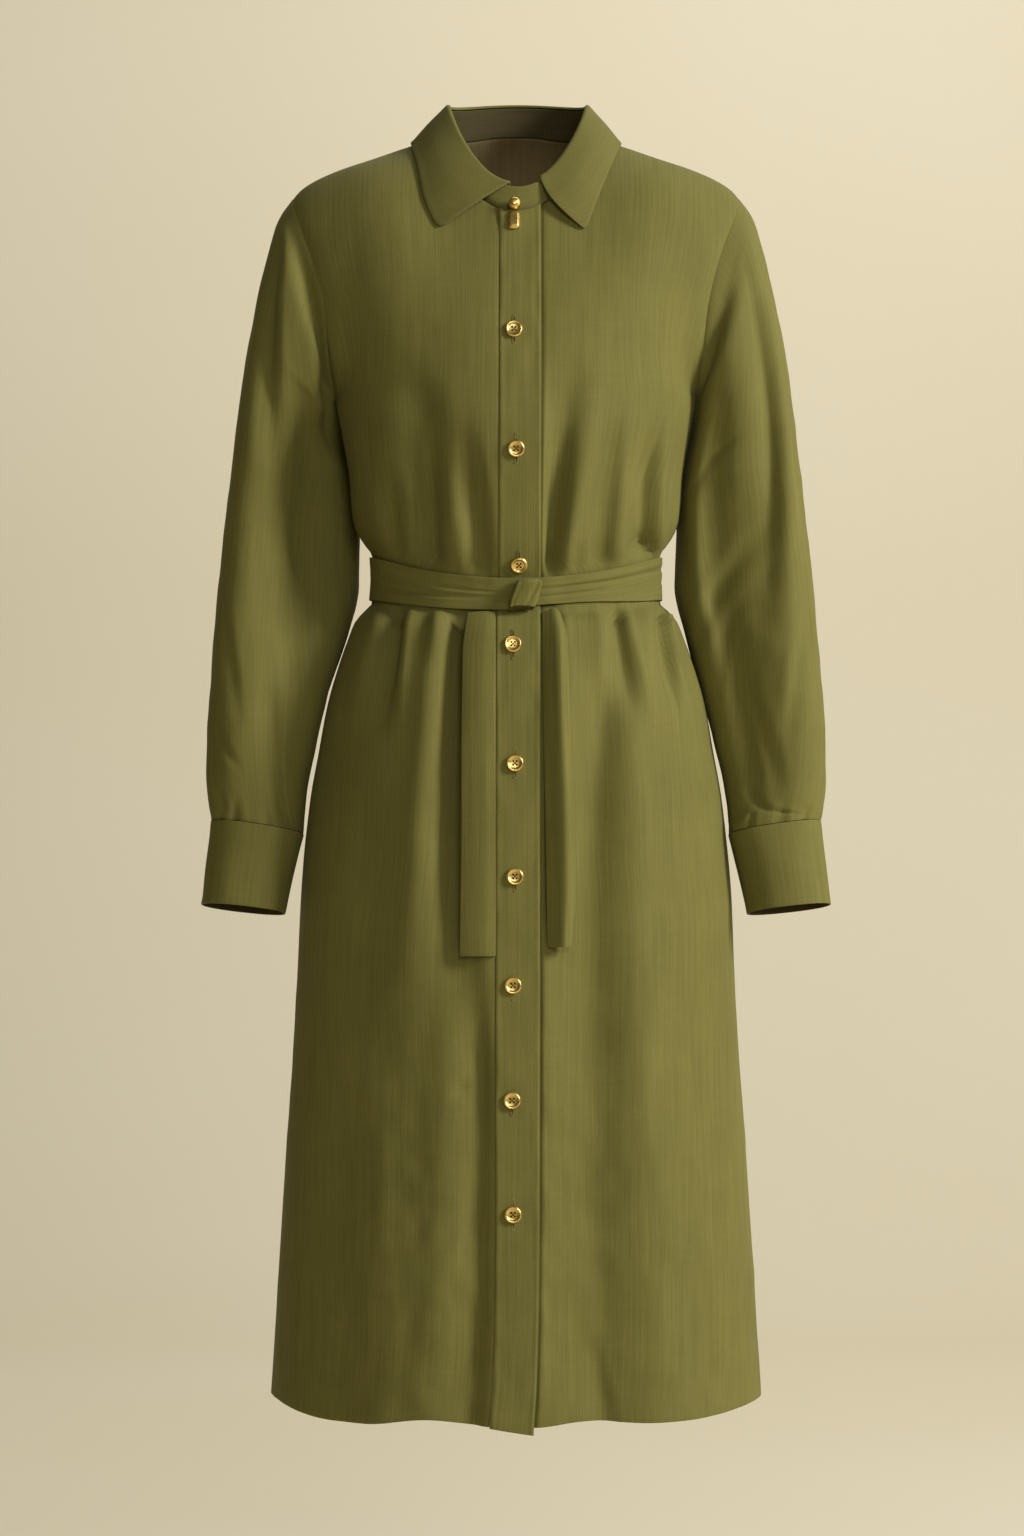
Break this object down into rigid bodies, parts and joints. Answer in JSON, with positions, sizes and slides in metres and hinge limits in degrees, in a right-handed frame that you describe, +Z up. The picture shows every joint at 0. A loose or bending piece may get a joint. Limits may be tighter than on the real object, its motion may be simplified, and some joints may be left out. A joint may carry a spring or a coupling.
{
  "type": "shirt dress",
  "caption": "Long-sleeved, knee-length shirt dress with a collar, a buttoned front placket and a tie belt, filled out as worn and hollow.",
  "frame": {"origin": "midway between the tops of the two shoulder seams, level with them at the neck's sides, where the wearer's shoulders hold the dress", "axes": "+Z up, -Y the front with the placket, +X towards the wearer's left"},
  "size_m": [0.562, 0.2944, 1.179],
  "materials": {
    "olive_cotton": "matt plain weave of cotton and linen",
    "gold_metal": "polished, warm gold"
  },
  "bodies": {
    "root": {"back": "olive_cotton", "front_right": "olive_cotton", "front_left": "olive_cotton", "placket": "olive_cotton", "collar_stand": "olive_cotton", "collar": "olive_cotton", "sleeve_right": "olive_cotton", "sleeve_left": "olive_cotton", "cuff_right": "olive_cotton", "cuff_left": "olive_cotton", "belt": "olive_cotton", "belt_knot": "olive_cotton", "belt_end_right": "olive_cotton", "belt_end_left": "olive_cotton", "button_01": "gold_metal", "button_02": "gold_metal", "button_03": "gold_metal", "button_04": "gold_metal", "button_05": "gold_metal", "button_06": "gold_metal", "button_07": "gold_metal", "button_08": "gold_metal", "button_09": "gold_metal", "stand_ball": "gold_metal", "placket_bar": "gold_metal"}
  },
  "joints": []
}
